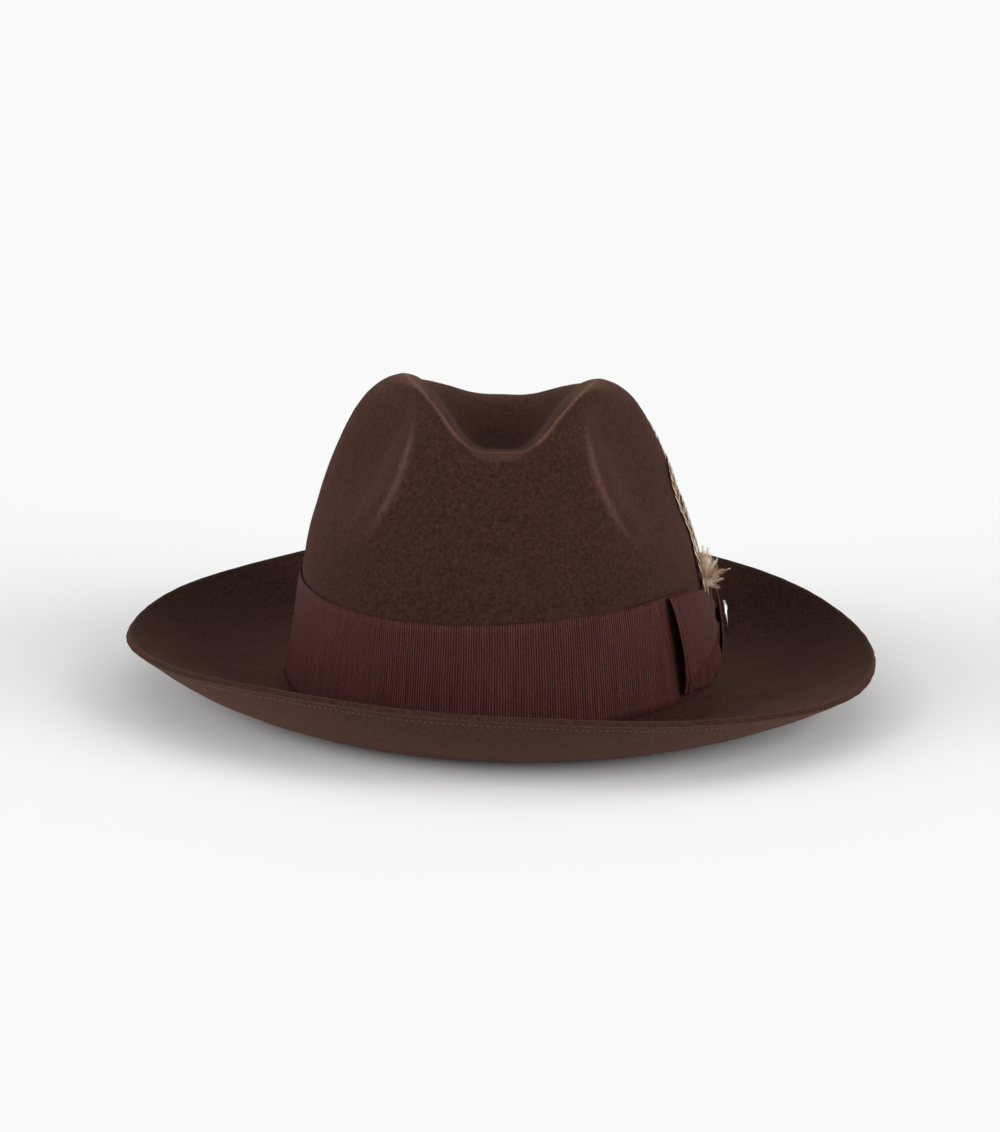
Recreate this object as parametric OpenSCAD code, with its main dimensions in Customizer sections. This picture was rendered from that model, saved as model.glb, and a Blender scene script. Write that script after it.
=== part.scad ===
// Felt fedora with a pinched teardrop crown, a turned-up brim, a ribbon band and bow,
// a feather spray and a pin.
// Row frame: X to the wearer's left, Y to the back, Z up. The hat stands on the ring
// where the brim breaks from the crown, and the origin is under the centre of the hat.

/* [Head] */
// Half width of the felt, outside, at the brim break
head_a = 86; // [82:1:90]
// Half length of the felt, outside, at the brim break
head_b = 104; // [100:1:108]

/* [Felt] */
// Thickness of the felt
felt_t = 2.2; // [1.8:0.1:2.6]
// Width of the brim at the sides
brim_side = 62.8; // [55:0.1:70]
// Width of the brim at the front and back
brim_end = 60; // [55:1:70]
// Rise of the brim's edge at the front
rise_front = 28; // [20:1:34]
// Rise of the brim's edge at the back
rise_back = 31; // [20:1:34]
// Rise of the brim's edge on the wearer's right
rise_right = 21; // [14:0.5:30]
// Rise of the brim's edge on the wearer's left
rise_left = 18.5; // [14:0.5:30]
// Twist of the brim's edge, up at the front right and the back left
brim_twist = 2.8; // [0:0.1:4]
// Radius of the bend where the brim meets the crown
break_r = 4; // [3:0.5:5]

/* [Crown dents] */
// How far the crown's top falls from front to back
top_fall = 20; // [12:1:24]
// Depth of the centre crease at the front pinch
crease_front = 30; // [24:1:36]
// Depth of the centre crease at its middle
crease_mid = 41; // [30:1:44]
// Depth of the centre crease at the back
crease_back = 14; // [6:1:16]
// Depth of the two side pinches
pinch_depth = 9; // [5:0.5:11]
// Lean of the crown towards the wearer's right, at the top
crown_lean = 2.8; // [0:0.1:4]

/* [Ribbon] */
// Width of the ribbon band
band_w = 41.5; // [38:0.5:42]
// How far the band rides up on the wearer's left, where the bow is
band_lift = 2.9; // [1:0.1:3.5]
// Twist of the band, up at the front left
band_twist = 2; // [0:0.1:2]
// How far the band's upper edge is pressed down behind the bow
band_tuck = 5.5; // [0:0.5:6]
// Thickness of the ribbon
ribbon_t = 0.8; // [0.6:0.1:1]
// Angle from the side of the hat to the bow's front end
bow_reach = 35.5; // [28:0.5:38]
// Width of the bow's centre knot
knot_w = 16; // [12:1:18]

/* [Trim] */
// Height of the pin's plate
pin_h = 15; // [12:1:16]
// Length of the long feather above the bow
feather_len = 64; // [50:1:70]
// Diameter of the sweatband's reed
reed_d = 1.6; // [1.2:0.1:1.8]
// Height of the leather sweatband
sweat_h = 38; // [32:1:42]

/* [Hidden] */

N = 72;               // points round the hat
gap = 0.25;           // air between layers
break_z = felt_t;     // height of the felt's upper face at the break

// Crown sections before the dents: height above the break, half width, front and back
// half lengths. The two last rows close the top.
SECTIONS = [
    [0, head_a, head_b, head_b],
    [22, head_a - 3, head_b - 2.2, head_b - 2],
    [45, head_a - 6.4, head_b - 4.5, head_b - 4.5],
    [66, head_a - 10.2, head_b - 7, head_b - 7.5],
    [84, head_a - 15, head_b - 9.5, head_b - 11],
    [101, head_a - 20.6, head_b - 12, head_b - 15],
    [116, head_a - 26.8, head_b - 15, head_b - 19.5],
    [128, head_a - 34.2, head_b - 18, head_b - 25],
    [136.6, head_a - 43.5, head_b - 23.5, head_b - 33],
    [141.5, head_a - 54, head_b - 36, head_b - 47],
    [143.5, head_a - 70, head_b - 72, head_b - 77],
    [143.5, 0, 0, 0]];
K = len(SECTIONS) - 1;

// ---------- curves ----------
function blend(a, b, x) = let (t = min(1, max(0, (x - a) / (b - a)))) t * t * (3 - 2 * t);
function catmull(p, q, r, s, t) =
    0.5 * (2 * q + (r - p) * t + (2 * p - 5 * q + 4 * r - s) * t * t
        + (3 * q - p - 3 * r + s) * t * t * t);
function row(i) = SECTIONS[min(K, max(0, i))];
// The crown's section at k, counted in rows of SECTIONS
function section(k) = let (i = min(K - 1, floor(k)))
    catmull(row(i - 1), row(i), row(i + 1), row(i + 2), k - i);
// The row count k of a height, by straight lines between the rows
function at_height(z, i = 0) =
    (i >= K - 2 || z <= SECTIONS[i + 1][0])
        ? i + (z - SECTIONS[i][0]) / (SECTIONS[i + 1][0] - SECTIONS[i][0])
        : at_height(z, i + 1);

// ---------- felt surface, upper and outer face ----------
function rim_rise(w) =
    (rise_front + rise_back + rise_left + rise_right) / 4
    + (rise_left - rise_right) / 2 * cos(w)
    + (rise_back - rise_front) / 2 * sin(w)
    + (rise_left + rise_right - rise_front - rise_back) / 4 * cos(2 * w)
    + brim_twist * sin(2 * w);
// The brim stays level from the crown out to the bend's end, which is the ring that the
// hat stands on, and then rises
bend_u = break_r / brim_side;
function brim_point(w, u) = let (up = max(0, u - bend_u) / (1 - bend_u)) [
    (head_a + brim_side * u) * cos(w),
    (head_b + brim_end * u) * sin(w),
    break_z + rim_rise(w) * up * up];

function lean(z) = -crown_lean * blend(0, 120, z);
// A point of the crown's side below the dents, pushed outwards by off
function side_point(w, z, off = 0) = let (
    s = section(at_height(z)),
    b = sin(w) < 0 ? s[2] : s[3],
    n = [cos(w) / s[1], sin(w) / b],
    m = n / norm(n))
    [s[1] * cos(w) + off * m[0] + lean(z), b * sin(w) + off * m[1], break_z + z];

// The side pinches: how far the felt is pushed in, by the angle from the front
function pinch(x, y, z) = let (
    angle = atan2(abs(x), -y),
    t = angle - (21 + (117 - z) * 0.42),
    across = blend(-4, 15, t) * (1 - blend(15, 62, t)))
    pinch_depth * across * blend(64, 92, z) * (1 - blend(116, 136, z));
// The fall to the back and the centre crease: how far the felt is pushed down
function sunk(x, y, z) = let (
    half = 19 + 6 * blend(-90, 0, y),
    power = 3.6 - 0.6 * blend(-60, 40, y),
    across = 1 / (1 + pow(abs(x) / half, power)),
    along = crease_front + (crease_mid - crease_front) * blend(-88, -30, y)
        - (crease_mid - crease_back) * blend(0, 72, y))
    along * across * blend(50, 128, z) + top_fall * blend(40, 125, z) * blend(-55, 95, y);
// How far y is from the middle on the undented wall, at a height. At the front and back x
// keeps its value, and at the sides w does.
function wall_y(w, x, z) = let (
    s = section(at_height(z)),
    by_w = abs(sin(w)),
    by_x = sqrt(max(0, 1 - pow(x / s[1], 2))))
    (sin(w) < 0 ? -s[2] : s[3]) * (by_w + (by_x - by_w) * blend(0.25, 0.75, by_w));
// Felt that is pushed down stays on the wall up to the lip of the crease, which is sharp
// at the front and soft at the back
function crown_point(w, k) = let (
    s = section(k),
    x0 = s[1] * cos(w),
    y0 = (sin(w) < 0 ? s[2] : s[3]) * sin(w),
    z = s[0] - sunk(x0, y0, s[0]),
    back = blend(-60, 20, y0),
    on_top = blend(137 - 21 * back, 143.5 - 5.5 * back, s[0]),
    y1 = wall_y(w, x0, z) * (1 - on_top) + y0 * on_top,
    r = max(0.01, norm([x0, y1])),
    inward = 1 - min(0.9, pinch(x0, y1, s[0]) / r))
    [x0 * inward + lean(s[0]), y1 * inward, break_z + z];
// The bend between brim and crown, from 0 on the brim to 90 on the crown
function bend_point(w, turn) =
    side_point(w, break_r * (1 - cos(turn)), break_r * (1 - sin(turn)));

BRIM_RINGS = 8;
BEND_STEP = 22.5;
CROWN_STEP = 0.5;
function round_angles() = [for (j = [0 : N - 1]) j * 360 / N];
function felt_rings() = let (k0 = at_height(break_r)) concat(
    [for (i = [0 : BRIM_RINGS])
        [for (w = round_angles()) brim_point(w, 1 - (1 - bend_u) * i / BRIM_RINGS)]],
    [for (turn = [BEND_STEP : BEND_STEP : 90 - BEND_STEP])
        [for (w = round_angles()) bend_point(w, turn)]],
    [for (k = [k0, for (i = [1 : 2 * K - 1]) i * CROWN_STEP])
        [for (w = round_angles()) crown_point(w, k)]]);

// ---------- solids from grids of points ----------
function unit(v) = v / max(1e-9, norm(v));
// Normals of a closed-round grid, pointing up and out
function normals(g) = let (m = len(g) - 1, n = len(g[0]))
    [for (i = [0 : m]) [for (j = [0 : n - 1])
        unit(cross(g[i][(j + 1) % n] - g[i][(j + n - 1) % n],
                   g[min(m, i + 1)][j] - g[max(0, i - 1)][j]))]];
function moved(g, d) = let (v = normals(g))
    [for (i = [0 : len(g) - 1]) [for (j = [0 : len(g[0]) - 1]) g[i][j] + d * v[i][j]]];
function flat(lists) = [for (l = lists) for (p = l) p];
function quad(a, b, c, d) = [[a, b, c], [a, c, d]];
// Faces of a sheet with an outer and an inner grid of m by n points; it closes round
// when wrap is true, and otherwise gets side walls
function sheet_faces(m, n, wrap) = let (
    last = wrap ? n - 1 : n - 2,
    inner = m * n,
    next = function (j) (j + 1) % n)
    flat(concat(
        [for (i = [0 : m - 2]) for (j = [0 : last])
            quad(i * n + j, (i + 1) * n + j, (i + 1) * n + next(j), i * n + next(j))],
        [for (i = [0 : m - 2]) for (j = [0 : last])
            quad(inner + i * n + j, inner + i * n + next(j),
                 inner + (i + 1) * n + next(j), inner + (i + 1) * n + j)],
        [for (j = [0 : last]) quad(j, next(j), inner + next(j), inner + j)],
        [for (j = [0 : last]) let (e = (m - 1) * n)
            quad(e + j, inner + e + j, inner + e + next(j), e + next(j))],
        wrap ? [] : [for (i = [0 : m - 2])
            quad(i * n, inner + i * n, inner + (i + 1) * n, (i + 1) * n)],
        wrap ? [] : [for (i = [0 : m - 2]) let (e = n - 1)
            quad(i * n + e, (i + 1) * n + e, inner + (i + 1) * n + e, inner + i * n + e)]));
module sheet(outer, inner, wrap = true) {
    polyhedron(points = concat(flat(outer), flat(inner)),
               faces = sheet_faces(len(outer), len(outer[0]), wrap), convexity = 8);
}
// A closed-round sheet whose last ring closes on one outer and one inner pole
module domed_sheet(outer, inner, pole_out, pole_in) {
    m = len(outer);
    n = len(outer[0]);
    inside = m * n;
    e = (m - 1) * n;
    pole = 2 * m * n;
    walls = [for (i = [0 : m - 2]) for (j = [0 : n - 1]) let (k = (j + 1) % n) each concat(
        quad(i * n + j, (i + 1) * n + j, (i + 1) * n + k, i * n + k),
        quad(inside + i * n + j, inside + i * n + k,
             inside + (i + 1) * n + k, inside + (i + 1) * n + j))];
    edge = [for (j = [0 : n - 1]) let (k = (j + 1) % n) each quad(j, k, inside + k, inside + j)];
    caps = [for (j = [0 : n - 1]) let (k = (j + 1) % n)
        each [[e + j, pole, e + k], [inside + e + j, inside + e + k, pole + 1]]];
    polyhedron(points = concat(flat(outer), flat(inner), [pole_out, pole_in]),
               faces = concat(walls, edge, caps), convexity = 10);
}
WALL_ROWS = 4;
// Levels of a ring wall at the crown's side
function wall_levels(low, high) = [for (i = [0 : WALL_ROWS]) low + (high - low) * i / WALL_ROWS];

// ---------- felt ----------
module felt_body() {
    outer = felt_rings();
    inner = moved(outer, -felt_t);
    top = crown_point(0, K);
    color("#4a332b") domed_sheet(outer, inner, top, top - [0, 0, felt_t]);
}

// ---------- ribbon ----------
band_low = 5.2;       // from the break to the band's lower edge, before it rides up
band_face = gap + ribbon_t;
// How far the band rides up round the crown
function band_rise(w) = band_lift * (cos(w) + cos(w) * cos(w)) / 2 - band_twist * sin(2 * w);
function band_point(w, z, off) = let (
    high = (z - band_low) / band_w,
    pressed = band_tuck * high * high * blend(0.85, 0.985, cos(w)))
    side_point(w, z + band_rise(w) - pressed, off);
module hat_band() {
    levels = wall_levels(band_low, band_low + band_w);
    color("#57302c") sheet(
        [for (z = levels) [for (w = round_angles()) band_point(w, z, band_face)]],
        [for (z = levels) [for (w = round_angles()) band_point(w, z, gap)]]);
}

// A bow loop, from the knot (q = 0) to its outer end (q = 1); side is -1 for the front
LOOP_T = 1.8;
loop_tip = 19;        // half height of the loop at its outer end
loop_foot = 4.5;      // half height of the pleats under the knot
bow_mid = band_low + band_w / 2;
function loop_half(q) = loop_foot + (loop_tip - loop_foot) * blend(-0.1, 0.68, q);
function loop_point(side, q, v, off) = let (
    w = side * (2.5 + (bow_reach - 2.5) * q),
    droop = 1.5 * (1 - blend(0.3, 0.9, q)),
    z = bow_mid + band_rise(w) - droop + v * loop_half(q),
    bulge = 2.4 * (1 - v * v) * blend(0.15, 0.6, q))
    side_point(w, z, off + bulge);
module bow_loop(side) {
    qs = [for (i = [0 : 10]) i / 10];
    vs = [for (i = [0 : 8]) side * (1 - i / 4)];
    function near(q) = band_face + 1.6 + 0.7 * blend(0, 0.12, q);
    sheet([for (q = qs) [for (v = vs) loop_point(side, q, v, near(q) + LOOP_T)]],
          [for (q = qs) [for (v = vs) loop_point(side, q, v, near(q))]], false);
}
module bow_front_loop() {
    color("#5c332f") bow_loop(-1);
}
module bow_rear_loop() {
    color("#5c332f") bow_loop(1);
}

// The knot stands in a frame on the band's face at the side of the hat, leaning with it
knot_lean = 8;
module on_side() {
    foot = side_point(0, bow_mid + band_rise(0), band_face);
    translate(foot) rotate([0, -knot_lean, 0]) children();
}
knot_in = 0.5;        // from the band's face to the back of the knot
knot_out = 5.4;       // from the band's face to the front of the knot
knot_h = band_w - 8;
pin_z = 1.5;          // height of the pin above the knot's middle
post_r = 0.5;
// One closed turn of ribbon, drawn from the side
function knot_outline() = let (h = knot_h / 2)
    [[knot_in, h - 1.5], [knot_in, 1.5 - h], [knot_in + 1.4, -h], [knot_in + 2.4, 0.6 - h],
     [knot_out - 0.8, -11.5], [knot_out, -7], [knot_out, 10], [knot_out - 0.8, 13],
     [knot_in + 2.4, h - 0.6], [knot_in + 1.4, h]];
// A polygon with every side moved inwards by d
function inset(p, d) = let (n = len(p)) [for (i = [0 : n - 1]) let (
    u = unit(p[i] - p[(i + n - 1) % n]),
    v = unit(p[(i + 1) % n] - p[i]))
    p[i] + d * [-u[1] - v[1], u[0] + v[0]] / (1 + u * v)];
module bow_knot() {
    color("#613732") on_side() difference() {
        rotate([90, 0, 0]) linear_extrude(knot_w, center = true) difference() {
            polygon(knot_outline());
            polygon(inset(knot_outline(), ribbon_t));
        }
        translate([knot_out - 2, 0, pin_z]) rotate([0, 90, 0])
            cylinder(r = post_r + 0.05, h = 4, $fn = 32);
    }
}

// ---------- feathers ----------
tuck = 14;            // how far the stems run down behind the bow
foot_w = -8;          // angle of the spray's foot, in front of the side
binding_h = 9;
stem_z = band_low + band_w + band_rise(foot_w) - tuck;
// How far the crown's top has fallen at a height of its side
function side_fall(w, z) = let (y = side_point(w, z)[1])
    top_fall * blend(40, 125, z + 3) * blend(-55, 95, y);
// A point off the crown's side after that fall
function fallen_point(w, z, off) = let (fall = side_fall(w, z))
    side_point(w, z + fall, off) - [0, 0, fall];
// A feather with its own layer, side shift at the foot and sweep to the back
function feather_wide(q, wide) = 0.6 + wide * blend(0.12, 0.4, q) * (1 - blend(0.72, 1.04, q));
module feather(len_above, wide, layer, shift, sweep) {
    qs = [for (i = [0 : 14]) i / 14];
    function spot(q, v, off) = let (
        z = stem_z + (len_above + tuck) * q,
        w = foot_w + shift + sweep * pow(q, 1.3) + v * feather_wide(q, wide) * 0.57)
        fallen_point(w, z, band_face + 0.15 + off + layer);
    vs = [for (i = [0 : 4]) i / 2 - 1];
    sheet([for (q = qs) [for (v = vs) spot(q, v, 0.5)]],
          [for (q = qs) [for (v = vs) spot(q, v, 0)]], false);
}
module feather_long() {
    color("#8a6a4c") feather(feather_len, 5.5, 0, 0, 15);
}
module feather_mid() {
    color("#8a6a4c") feather(feather_len - 18, 5, 0.65, -1.3, 6);
}
module feather_short() {
    color("#8a6a4c") feather(feather_len - 34, 4.4, 1.3, 1.2, 5);
}
module feather_binding() {
    zs = [stem_z - 0.1 - binding_h, stem_z - 0.1];
    ws = [for (i = [0 : 4]) foot_w - 1.9 + 0.95 * i];
    color("#3b2a22") sheet(
        [for (z = zs) [for (w = ws) side_point(w, z, band_face + 1.3)]],
        [for (z = zs) [for (w = ws) side_point(w, z, band_face + 0.15)]], false);
}
module down_tuft() {
    base = side_point(foot_w, stem_z + tuck + 1, band_face + 4.8);
    color("#c9b193") hull() {
        translate(base) sphere(r = 2, $fn = 16);
        translate(base + [2.2, 1, 5.5]) sphere(r = 3.8, $fn = 16);
        translate(base + [-0.4, 0.5, 11]) sphere(r = 2.2, $fn = 16);
    }
}

// ---------- pin ----------
plate_t = 1;
plate_w = 8;
head_up = 4;          // height of the pin's round head above the plate's middle
module pin_plate() {
    color("#c9c2b4") on_side() translate([knot_out + 0.02, 0, pin_z]) rotate([0, 90, 0]) {
        hull() for (side = [-1, 1])
            translate([side * (pin_h - plate_w) / 2, 0, 0])
                cylinder(d = plate_w, h = plate_t, $fn = 32);
        translate([-head_up, 0, plate_t - 0.1]) cylinder(d = 5.4, h = 1.2, $fn = 48);
    }
}
post_len = 3.2;
module pin_post() {
    color("#c9c2b4") on_side() translate([knot_out + 0.02 - post_len, 0, pin_z])
        rotate([0, 90, 0]) cylinder(r = post_r, h = post_len, $fn = 32);
}
clutch_t = 1.6;
module pin_clutch() {
    color("#b9b2a2") on_side()
        translate([knot_out - ribbon_t - clutch_t - 0.1, 0, pin_z]) rotate([0, 90, 0])
        difference() {
            union() {
                cylinder(d = 6, h = clutch_t, $fn = 48);
                translate([-4.2, -1.2, 0]) cube([8.4, 2.4, 0.8]);
            }
            translate([0, 0, -1]) cylinder(r = post_r + 0.05, h = clutch_t + 2, $fn = 32);
        }
}

// ---------- inside ----------
sweat_t = 0.9;
sweat_low = 0.4;
sweat_out = -(felt_t + 0.75);
module sweatband() {
    levels = wall_levels(sweat_low, sweat_h);
    color("#6b4632") sheet(
        [for (z = levels) [for (w = round_angles()) side_point(w, z, sweat_out)]],
        [for (z = levels) [for (w = round_angles()) side_point(w, z, sweat_out - sweat_t)]]);
}
module sweatband_reed() {
    ring = 8;
    mid = sweat_out - sweat_t / 2;
    sides = [for (i = [0 : ring - 1]) -i * 360 / ring];
    points = [for (w = round_angles()) for (t = sides)
        side_point(w, 0, mid + reed_d / 2 * cos(t)) + [0, 0, reed_d / 2 * (sin(t) - 1)]];
    color("#d8d2c4") polyhedron(points = points, convexity = 4,
        faces = flat([for (j = [0 : N - 1]) for (t = [0 : ring - 1]) let (
            a = j * ring, b = ((j + 1) % N) * ring, u = (t + 1) % ring)
            quad(a + t, b + t, b + u, a + u)]));
}
bow_wide = 20;
bow_tall = 8;
module sweatband_bow() {
    back = side_point(90, 10, sweat_out - sweat_t)[1];
    color("#3a2722") translate([lean(10), back - 1.5, break_z + 10]) rotate([90, 0, 0]) {
        linear_extrude(1) polygon([
            [-bow_wide / 2, -bow_tall / 2], [-1.6, -1.4], [1.6, -1.4], [bow_wide / 2, -bow_tall / 2],
            [bow_wide / 2, bow_tall / 2], [1.6, 1.4], [-1.6, 1.4], [-bow_wide / 2, bow_tall / 2]]);
        translate([-2, -2.2, 1.0]) cube([4, 4.4, 0.9]);
    }
}
lining_t = 0.4;
lining_turn = 60;     // height where the side wall leaves the felt
tip_z = 84;
tip_share = 0.74;     // size of the tip against the oval at the turn
function lining_point(w, z, off) = let (
    clear = felt_t + gap + 1.8 * blend(45, lining_turn, z),
    turn = side_point(w, min(z, lining_turn), off - clear),
    share = 1 - (1 - tip_share) * max(0, z - lining_turn) / (tip_z - lining_turn))
    [turn[0] * share, turn[1] * share, break_z + z];
module lining_side() {
    levels = [30, 45, lining_turn, 68, 76, tip_z];
    color("#7a5a49") sheet(
        [for (z = levels) [for (w = round_angles()) lining_point(w, z, 0)]],
        [for (z = levels) [for (w = round_angles()) lining_point(w, z, -lining_t)]]);
}
module lining_tip() {
    function tip_ring(share, drop) = [for (w = round_angles())
        let (p = lining_point(w, tip_z, -lining_t - 0.1))
        [p[0] * share, p[1] * share, break_z + tip_z + 2.4 * (1 - share * share) - drop]];
    shares = [1, 0.8, 0.55, 0.25];
    top = [lean(60) * tip_share, 0, break_z + tip_z + 2.4];
    color("#7a5a49") domed_sheet([for (s = shares) tip_ring(s, 0)],
        [for (s = shares) tip_ring(s, lining_t)], top, top - [0, 0, lining_t]);
}

felt_body();
hat_band();
bow_front_loop();
bow_rear_loop();
bow_knot();
feather_long();
feather_mid();
feather_short();
down_tuft();
feather_binding();
pin_plate();
pin_post();
pin_clutch();
sweatband();
sweatband_reed();
sweatband_bow();
lining_side();
lining_tip();
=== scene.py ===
"""A brown felt fedora with a turned-up brim, a ribbon band and bow, feathers and a pin.

Every length is in millimetres until put() turns it into metres. Row frame: +X to the
wearer's left, +Y to the back, +Z up. Heights called z start at the brim break, and the
felt's upper face there is FELT_T above the row frame's floor.
"""
import math
import random

import bpy
import numpy as np
from mathutils import Matrix, Vector, noise


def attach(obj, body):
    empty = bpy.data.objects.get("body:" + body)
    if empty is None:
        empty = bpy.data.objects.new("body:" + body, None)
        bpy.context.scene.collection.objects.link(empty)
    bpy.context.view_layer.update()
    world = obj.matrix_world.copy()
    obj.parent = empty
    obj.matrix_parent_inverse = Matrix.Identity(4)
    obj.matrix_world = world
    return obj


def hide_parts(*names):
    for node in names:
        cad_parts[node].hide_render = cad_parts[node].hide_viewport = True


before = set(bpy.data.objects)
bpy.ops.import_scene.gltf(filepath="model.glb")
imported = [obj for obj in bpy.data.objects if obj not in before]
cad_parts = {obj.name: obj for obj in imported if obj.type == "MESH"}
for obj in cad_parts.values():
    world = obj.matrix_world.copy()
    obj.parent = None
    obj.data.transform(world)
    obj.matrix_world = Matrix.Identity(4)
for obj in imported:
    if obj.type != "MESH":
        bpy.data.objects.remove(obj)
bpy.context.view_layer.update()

MM = 0.001
TAU = 2 * math.pi

# ---------- driving dimensions, the same as the part's ----------
HEAD_A, HEAD_B = 86.0, 104.0        # half width and half length at the brim break
FELT_T = 2.2
BRIM_SIDE, BRIM_END = 62.8, 60.0
RISE = {"front": 28.0, "back": 31.0, "right": 21.0, "left": 18.5}
BRIM_TWIST = 2.8
BREAK_R = 4.0
BEND_U = BREAK_R / BRIM_SIDE
TOP_FALL = 20.0
CREASE_FRONT, CREASE_MID, CREASE_BACK = 30.0, 41.0, 14.0
PINCH_DEPTH = 9.0
CROWN_LEAN = 2.8
GAP = 0.25
BAND_LOW, BAND_TOP = 5.2, 46.7      # the ribbon band's edges, before it rides up
BAND_LIFT, BAND_TWIST = 2.9, 2.0
BAND_TUCK = 5.5                     # how far its upper edge is pressed down behind the bow
RIBBON_T = 0.8
BAND_FACE = GAP + RIBBON_T

# Crown sections before the dents: height, half width, front and back half lengths
SECTIONS = np.array([
    [0, HEAD_A, HEAD_B, HEAD_B],
    [22, HEAD_A - 3, HEAD_B - 2.2, HEAD_B - 2],
    [45, HEAD_A - 6.4, HEAD_B - 4.5, HEAD_B - 4.5],
    [66, HEAD_A - 10.2, HEAD_B - 7, HEAD_B - 7.5],
    [84, HEAD_A - 15, HEAD_B - 9.5, HEAD_B - 11],
    [101, HEAD_A - 20.6, HEAD_B - 12, HEAD_B - 15],
    [116, HEAD_A - 26.8, HEAD_B - 15, HEAD_B - 19.5],
    [128, HEAD_A - 34.2, HEAD_B - 18, HEAD_B - 25],
    [136.6, HEAD_A - 43.5, HEAD_B - 23.5, HEAD_B - 33],
    [141.5, HEAD_A - 54, HEAD_B - 36, HEAD_B - 47],
    [143.5, HEAD_A - 70, HEAD_B - 72, HEAD_B - 77],
    [143.5, 0, 0, 0]])
K = len(SECTIONS) - 1


# ---------- curves ----------
def smooth(a, b, x):
    t = np.clip((np.asarray(x, float) - a) / (b - a), 0, 1)
    return t * t * (3 - 2 * t)


def mix(a, b, t):
    return a + (b - a) * t


def joined(*parts):
    """Arrays that broadcast together, as the components of one array of points."""
    return np.stack(np.broadcast_arrays(*parts), -1)


def around(count):
    return np.arange(count) * TAU / count


def outward(w):
    return joined(np.cos(w), np.sin(w), 0 * w)


def run_along(line):
    """The length from the start of a line of points to each of them."""
    return np.concatenate([[0], np.cumsum(np.linalg.norm(np.diff(line, axis=0), axis=1))])


def section(k):
    """Catmull-Rom through SECTIONS at k, counted in rows: half width, front, back, height."""
    k = np.clip(np.asarray(k, float), 0, K)
    i = np.minimum(np.floor(k).astype(int), K - 1)
    t = (k - i)[..., None]
    p, q, r, s = (SECTIONS[np.clip(i + j, 0, K)] for j in (-1, 0, 1, 2))
    row = 0.5 * (2 * q + (r - p) * t + (2 * p - 5 * q + 4 * r - s) * t ** 2
                 + (3 * q - p - 3 * r + s) * t ** 3)
    return row[..., 1], row[..., 2], row[..., 3], row[..., 0]


def at_height(z):
    return np.interp(z, SECTIONS[:-1, 0], np.arange(K))


def lean(z):
    return -CROWN_LEAN * smooth(0, 120, z)


def point(x, y, z):
    return joined(x, y, np.asarray(z, float) + FELT_T)


# ---------- felt surface ----------
def rim_rise(w):
    f, b, r, l = (RISE[side] for side in ("front", "back", "right", "left"))
    wave = 0.35 * np.sin(5 * w + 0.6) + 0.25 * np.sin(9 * w + 2.1)
    return ((f + b + r + l) / 4 + (l - r) / 2 * np.cos(w) + (b - f) / 2 * np.sin(w)
            + (l + r - f - b) / 4 * np.cos(2 * w) + BRIM_TWIST * np.sin(2 * w) + wave)


def brim_point(w, u):
    up = np.maximum(0, u - BEND_U) / (1 - BEND_U)
    return point((HEAD_A + BRIM_SIDE * u) * np.cos(w), (HEAD_B + BRIM_END * u) * np.sin(w),
                 rim_rise(w) * up ** 2)


def side_point(w, z, off=0.0):
    """A point on the crown's side below the dents, moved outwards by off."""
    a, front, back, _ = section(at_height(z))
    b = np.where(np.sin(w) < 0, front, back)
    nx, ny = np.cos(w) / a, np.sin(w) / b
    length = np.hypot(nx, ny)
    return point(a * np.cos(w) + off * nx / length + lean(z),
                 b * np.sin(w) + off * ny / length, z)


def band_rise(w):
    """How far the band rides up round the crown."""
    return BAND_LIFT * (np.cos(w) + np.cos(w) ** 2) / 2 - BAND_TWIST * np.sin(2 * w)


def on_band(w, z, off):
    """A point that rides up with the band."""
    return side_point(w, z + band_rise(w), off)


def band_point(w, z, off):
    """A point of the band, whose upper edge is pressed down behind the bow."""
    high = (z - BAND_LOW) / (BAND_TOP - BAND_LOW)
    return on_band(w, z - BAND_TUCK * high ** 2 * smooth(0.85, 0.985, np.cos(w)), off)


def sunk(x, y, z):
    """The fall to the back and the centre crease: how far the felt is pushed down."""
    half = 19 + 6 * smooth(-90, 0, y)
    power = 3.6 - 0.6 * smooth(-60, 40, y)
    across = 1 / (1 + (np.abs(x) / half) ** power)
    along = (CREASE_FRONT + (CREASE_MID - CREASE_FRONT) * smooth(-88, -30, y)
             - (CREASE_MID - CREASE_BACK) * smooth(0, 72, y))
    return (along * across * smooth(50, 128, z)
            + TOP_FALL * smooth(40, 125, z) * smooth(-55, 95, y))


def pinch(x, y, z):
    """The side pinches: how far the felt is pushed in."""
    t = np.degrees(np.arctan2(np.abs(x), -y)) - (21 + (117 - z) * 0.42)
    across = smooth(-4, 15, t) * (1 - smooth(15, 62, t))
    return PINCH_DEPTH * across * smooth(64, 92, z) * (1 - smooth(116, 136, z))


def crown_point(w, k):
    a, front, back, z0 = section(k)
    w = np.broadcast_to(w, a.shape)
    is_front = np.sin(w) < 0
    x = a * np.cos(w)
    y = np.where(is_front, front, back) * np.sin(w)
    z = z0 - sunk(x, y, z0)
    wall_a, wall_front, wall_back, _ = section(at_height(z))
    by_w = np.abs(np.sin(w))
    by_x = np.sqrt(np.clip(1 - (x / np.maximum(wall_a, 1e-6)) ** 2, 0, 1))
    wall = by_w + (by_x - by_w) * smooth(0.25, 0.75, by_w)
    wall = wall * np.where(is_front, -wall_front, wall_back)
    behind = smooth(-60, 20, y)
    low, high = 137 - 21 * behind, 143.5 - 5.5 * behind
    t = smooth(0, 1, (z0 - low) / (high - low))
    y = mix(wall, y, t)
    r = np.maximum(0.01, np.hypot(x, y))
    inward = 1 - np.minimum(0.9, pinch(x, y, z0) / r)
    return point(x * inward + lean(z0), y * inward, z)


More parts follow.
